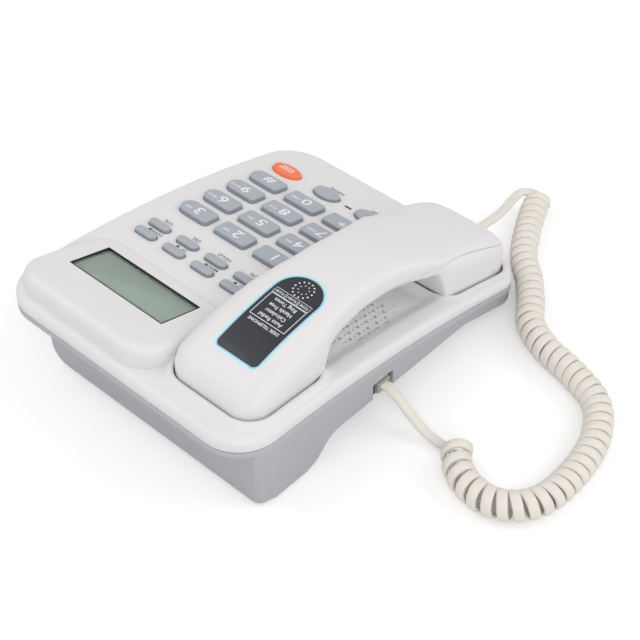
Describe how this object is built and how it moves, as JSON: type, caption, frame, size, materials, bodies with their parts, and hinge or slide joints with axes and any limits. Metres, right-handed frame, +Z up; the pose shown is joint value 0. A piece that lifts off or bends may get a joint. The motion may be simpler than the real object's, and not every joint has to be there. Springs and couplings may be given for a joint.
{
  "type": "corded landline phone",
  "caption": "Corded desk telephone: sloping white body with grey base, display, keypad, loudspeaker grille and a handset on a curly cord.",
  "frame": {"origin": "centre of the body's footprint on the table, between its four feet, measured without the cord", "axes": "+X towards the keypad side, +Y towards the display end, +Z up"},
  "size_m": [0.2439, 0.2475, 0.0653],
  "materials": {
    "shell_white": "satin moulded ABS",
    "case_grey": "fine matt texture",
    "key_grey": "satin",
    "key_orange": "satin",
    "lens_clear": "clear, glossy",
    "lcd_glass": "grey-green display",
    "lamp_red": "tinted lens",
    "board_green": "solder mask",
    "mat_grey": "silicone",
    "foot_rubber": "matt",
    "screw_steel": "plated",
    "dark_plastic": "matt",
    "plug_clear": "milky clear",
    "cord_white": "smooth PVC",
    "weight_steel": "plain",
    "ribbon_grey": "flat cable"
  },
  "bodies": {
    "base": {"top_case": "shell_white", "bottom_case": "case_grey", "rubber_feet": "foot_rubber", "case_screws": "screw_steel", "lcd_lens": "lens_clear", "lcd_panel": "lcd_glass", "lcd_board": "board_green", "keypad_board": "board_green", "key_mat": "mat_grey", "main_board": "board_green", "ribbon_cable": "ribbon_grey", "led_lens": "lamp_red", "loudspeaker": "dark_plastic", "hook_switch": "dark_plastic", "cord_jack": "dark_plastic", "line_jack": "dark_plastic", "base_plug": "plug_clear", "base_lead_cord": "cord_white", "coil_cord": "cord_white", "handset_lead_cord": "cord_white"},
    "hook": {"hook_plunger": "shell_white"},
    "handset": {"handset_back": "shell_white", "handset_front": "shell_white", "receiver_capsule": "dark_plastic", "microphone": "screw_steel", "handset_weight": "weight_steel", "handset_jack": "plug_clear", "handset_screws": "screw_steel", "handset_plug": "plug_clear"},
    "key_1": {"key_1": "key_grey"},
    "key_2": {"key_2": "key_grey"},
    "key_3": {"key_3": "key_grey"},
    "key_4": {"key_4": "key_grey"},
    "key_5": {"key_5": "key_grey"},
    "key_6": {"key_6": "key_grey"},
    "key_7": {"key_7": "key_grey"},
    "key_8": {"key_8": "key_grey"},
    "key_9": {"key_9": "key_grey"},
    "key_star": {"key_star": "key_grey"},
    "key_0": {"key_0": "key_grey"},
    "key_hash": {"key_hash": "key_grey"},
    "volume_key": {"volume_key": "key_grey"},
    "delete_key": {"delete_key": "key_grey"},
    "hold_key": {"hold_key": "key_grey"},
    "calc_key": {"calc_key": "key_grey"},
    "down_key": {"down_key": "key_grey"},
    "up_key": {"up_key": "key_grey"},
    "menu_key": {"menu_key": "key_grey"},
    "out_key": {"out_key": "key_grey"},
    "speaker_key": {"speaker_key": "key_orange"},
    "redial_key": {"redial_key": "key_grey"},
    "flash_key": {"flash_key": "key_grey"}
  },
  "joints": [
    {"name": "key_1_press", "type": "slide", "parent": "base", "child": "key_1", "axis": [0, 0.1513, -0.9885], "range_m": [0, 0.0014], "stiffness_N_per_m": 150, "springref_m": -0.002},
    {"name": "key_2_press", "type": "slide", "parent": "base", "child": "key_2", "axis": [0, 0.1513, -0.9885], "range_m": [0, 0.0014], "stiffness_N_per_m": 150, "springref_m": -0.002},
    {"name": "key_3_press", "type": "slide", "parent": "base", "child": "key_3", "axis": [0, 0.1513, -0.9885], "range_m": [0, 0.0014], "stiffness_N_per_m": 150, "springref_m": -0.002},
    {"name": "key_4_press", "type": "slide", "parent": "base", "child": "key_4", "axis": [0, 0.1768, -0.9842], "range_m": [0, 0.0014], "stiffness_N_per_m": 150, "springref_m": -0.002},
    {"name": "key_5_press", "type": "slide", "parent": "base", "child": "key_5", "axis": [0, 0.1768, -0.9842], "range_m": [0, 0.0014], "stiffness_N_per_m": 150, "springref_m": -0.002},
    {"name": "key_6_press", "type": "slide", "parent": "base", "child": "key_6", "axis": [0, 0.1768, -0.9842], "range_m": [0, 0.0014], "stiffness_N_per_m": 150, "springref_m": -0.002},
    {"name": "key_7_press", "type": "slide", "parent": "base", "child": "key_7", "axis": [0, 0.2023, -0.9793], "range_m": [0, 0.0014], "stiffness_N_per_m": 150, "springref_m": -0.002},
    {"name": "key_8_press", "type": "slide", "parent": "base", "child": "key_8", "axis": [0, 0.2023, -0.9793], "range_m": [0, 0.0014], "stiffness_N_per_m": 150, "springref_m": -0.002},
    {"name": "key_9_press", "type": "slide", "parent": "base", "child": "key_9", "axis": [0, 0.2023, -0.9793], "range_m": [0, 0.0014], "stiffness_N_per_m": 150, "springref_m": -0.002},
    {"name": "key_star_press", "type": "slide", "parent": "base", "child": "key_star", "axis": [0, 0.2278, -0.9737], "range_m": [0, 0.0014], "stiffness_N_per_m": 150, "springref_m": -0.002},
    {"name": "key_0_press", "type": "slide", "parent": "base", "child": "key_0", "axis": [0, 0.2278, -0.9737], "range_m": [0, 0.0014], "stiffness_N_per_m": 150, "springref_m": -0.002},
    {"name": "key_hash_press", "type": "slide", "parent": "base", "child": "key_hash", "axis": [0, 0.2278, -0.9737], "range_m": [0, 0.0014], "stiffness_N_per_m": 150, "springref_m": -0.002},
    {"name": "volume_key_press", "type": "slide", "parent": "base", "child": "volume_key", "axis": [0, 0.1175, -0.9931], "range_m": [0, 0.0014], "stiffness_N_per_m": 150, "springref_m": -0.002},
    {"name": "delete_key_press", "type": "slide", "parent": "base", "child": "delete_key", "axis": [0, 0.1175, -0.9931], "range_m": [0, 0.0014], "stiffness_N_per_m": 150, "springref_m": -0.002},
    {"name": "hold_key_press", "type": "slide", "parent": "base", "child": "hold_key", "axis": [0, 0.1175, -0.9931], "range_m": [0, 0.0014], "stiffness_N_per_m": 150, "springref_m": -0.002},
    {"name": "calc_key_press", "type": "slide", "parent": "base", "child": "calc_key", "axis": [0, 0.1175, -0.9931], "range_m": [0, 0.0014], "stiffness_N_per_m": 150, "springref_m": -0.002},
    {"name": "down_key_press", "type": "slide", "parent": "base", "child": "down_key", "axis": [0, 0.1034, -0.9946], "range_m": [0, 0.0014], "stiffness_N_per_m": 150, "springref_m": -0.002},
    {"name": "up_key_press", "type": "slide", "parent": "base", "child": "up_key", "axis": [0, 0.1034, -0.9946], "range_m": [0, 0.0014], "stiffness_N_per_m": 150, "springref_m": -0.002},
    {"name": "menu_key_press", "type": "slide", "parent": "base", "child": "menu_key", "axis": [0, 0.1034, -0.9946], "range_m": [0, 0.0014], "stiffness_N_per_m": 150, "springref_m": -0.002},
    {"name": "out_key_press", "type": "slide", "parent": "base", "child": "out_key", "axis": [0, 0.1034, -0.9946], "range_m": [0, 0.0014], "stiffness_N_per_m": 150, "springref_m": -0.002},
    {"name": "speaker_key_press", "type": "slide", "parent": "base", "child": "speaker_key", "axis": [0, 0.2551, -0.9669], "range_m": [0, 0.0014], "stiffness_N_per_m": 150, "springref_m": -0.002},
    {"name": "redial_key_press", "type": "slide", "parent": "base", "child": "redial_key", "axis": [0, 0.2551, -0.9669], "range_m": [0, 0.0014], "stiffness_N_per_m": 150, "springref_m": -0.002},
    {"name": "flash_key_press", "type": "slide", "parent": "base", "child": "flash_key", "axis": [0, 0.2551, -0.9669], "range_m": [0, 0.0014], "stiffness_N_per_m": 150, "springref_m": -0.002},
    {"name": "handset_lift", "type": "slide", "parent": "base", "child": "handset", "axis": [0, 0, 1], "range_m": [0, 0.06]},
    {"name": "hook_rise", "type": "slide", "parent": "base", "child": "hook", "axis": [0, 0, 1], "range_m": [0, 0.004]}
  ],
  "couplings": [
    {"joint": "hook_rise", "follows": "handset_lift", "ratio": 0.066667}
  ]
}
